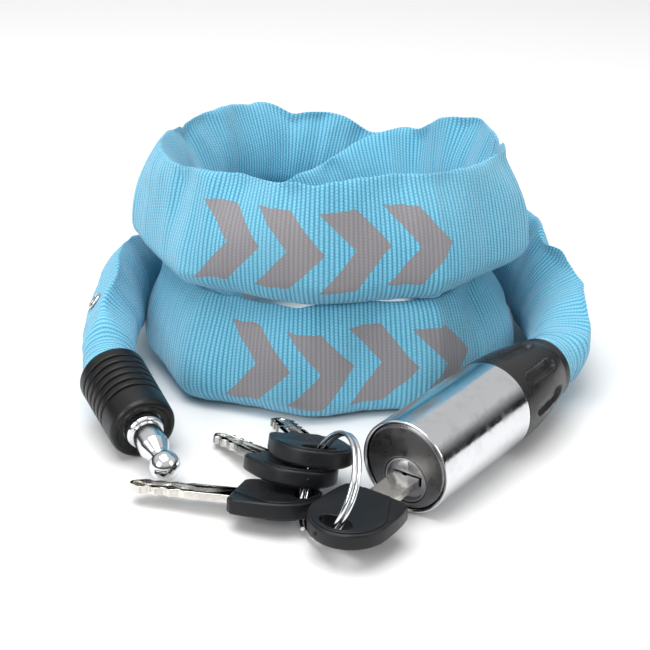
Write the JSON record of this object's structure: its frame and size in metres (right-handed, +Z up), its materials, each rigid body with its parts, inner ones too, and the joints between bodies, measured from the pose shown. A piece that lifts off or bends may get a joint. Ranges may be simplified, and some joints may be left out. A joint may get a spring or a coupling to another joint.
{
  "type": "chain lock",
  "caption": "Key-operated chain lock: steel barrel with a rotary plug, chain in a coiled woven sleeve, ball-ended locking pin in a rubber boot, and keys on a ring.",
  "frame": {"origin": "middle of the lock's footprint, on the surface it rests on", "axes": "+Z up; +Y away from the key end, towards the back of the coil; +X to the right, seen from the keys"},
  "size_m": [0.1614, 0.2168, 0.0728],
  "materials": {
    "polished_steel": "polished nickel-chrome plate, lightly scratched",
    "nickel": "nickel plate, satin",
    "dark_steel": "hardened steel, grey",
    "brass": "machined, uncoated",
    "cap_plastic": "semi-gloss black",
    "key_plastic": "satin black, moulded",
    "boot_rubber": "matt black, ribbed",
    "sleeve_fabric": "ribbed woven webbing, light blue"
  },
  "bodies": {
    "lock": {"barrel_shell": "polished_steel", "lock_core": "brass", "face_plate": "polished_steel", "tail_cap": "cap_plastic", "core_pin": "dark_steel", "anchor_pin": "dark_steel", "detent_ball": "dark_steel", "detent_spring": "dark_steel", "chain_link_01": "dark_steel", "chain_link_02": "dark_steel", "chain_link_03": "dark_steel", "chain_link_04": "dark_steel", "chain_link_05": "dark_steel", "chain_link_06": "dark_steel", "chain_link_07": "dark_steel", "chain_link_08": "dark_steel", "chain_link_09": "dark_steel", "chain_link_10": "dark_steel", "chain_link_11": "dark_steel", "chain_link_12": "dark_steel", "chain_link_13": "dark_steel", "chain_link_14": "dark_steel", "chain_link_15": "dark_steel", "chain_link_16": "dark_steel", "chain_link_17": "dark_steel", "chain_link_18": "dark_steel", "chain_link_19": "dark_steel", "chain_link_20": "dark_steel", "chain_link_21": "dark_steel", "chain_link_22": "dark_steel", "chain_link_23": "dark_steel", "chain_link_24": "dark_steel", "chain_link_25": "dark_steel", "chain_link_26": "dark_steel", "chain_link_27": "dark_steel", "chain_link_28": "dark_steel", "chain_link_29": "dark_steel", "sleeve": "sleeve_fabric", "sleeve_rivet": "nickel", "pin_boot": "boot_rubber", "pin_ferrule": "dark_steel", "ferrule_cross_pin": "dark_steel"},
    "plug": {"key_plug": "nickel", "wafer_1": "brass", "wafer_2": "brass", "wafer_3": "brass", "wafer_4": "brass", "wafer_5": "brass", "plug_cam": "dark_steel", "cam_screw": "dark_steel"},
    "working_key": {"key_blade_1": "nickel", "key_bow_1": "key_plastic"},
    "key_ring": {"split_ring": "polished_steel"},
    "spare_key_2": {"key_blade_2": "nickel", "key_bow_2": "key_plastic"},
    "spare_key_3": {"key_blade_3": "nickel", "key_bow_3": "key_plastic"},
    "spare_key_4": {"key_blade_4": "nickel", "key_bow_4": "key_plastic"},
    "pin": {"locking_pin": "polished_steel"}
  },
  "joints": [
    {"name": "plug_turn", "type": "hinge", "parent": "lock", "child": "plug", "pos_m": [0.01684, -0.07759, 0.0093], "axis": [0.5976, 0.8018, 0], "range_deg": [0, 90]},
    {"name": "key_slide", "type": "slide", "parent": "plug", "child": "working_key", "axis": [-0.5976, -0.8018, 0], "range_m": [0, 0.0185]},
    {"name": "ring_swing", "type": "hinge", "parent": "working_key", "child": "key_ring", "pos_m": [-0.00162, -0.10237, 0.0093], "axis": [-0.8018, 0.5976, 0], "range_deg": [-12, 10]},
    {"name": "spare_key_2_swing", "type": "hinge", "parent": "key_ring", "child": "spare_key_2", "pos_m": [-0.00619, -0.07635, 0.01608], "axis": [0.433, 0.0379, 0.9006], "range_deg": [-1, 6]},
    {"name": "spare_key_3_swing", "type": "hinge", "parent": "key_ring", "child": "spare_key_3", "pos_m": [-0.00839, -0.07775, 0.01088], "axis": [0.3076, 0.4309, 0.8484], "range_deg": [-8, 2]},
    {"name": "spare_key_4_swing", "type": "hinge", "parent": "key_ring", "child": "spare_key_4", "pos_m": [-0.00984, -0.0824, 0.00552], "axis": [0.0795, 0.8105, 0.5803], "range_deg": [-2, 10]},
    {"name": "pin_swivel", "type": "hinge", "parent": "lock", "child": "pin", "pos_m": [-0.04866, -0.06509, 0.0069], "axis": [-0.43, 0.8859, 0.174], "continuous": true}
  ]
}
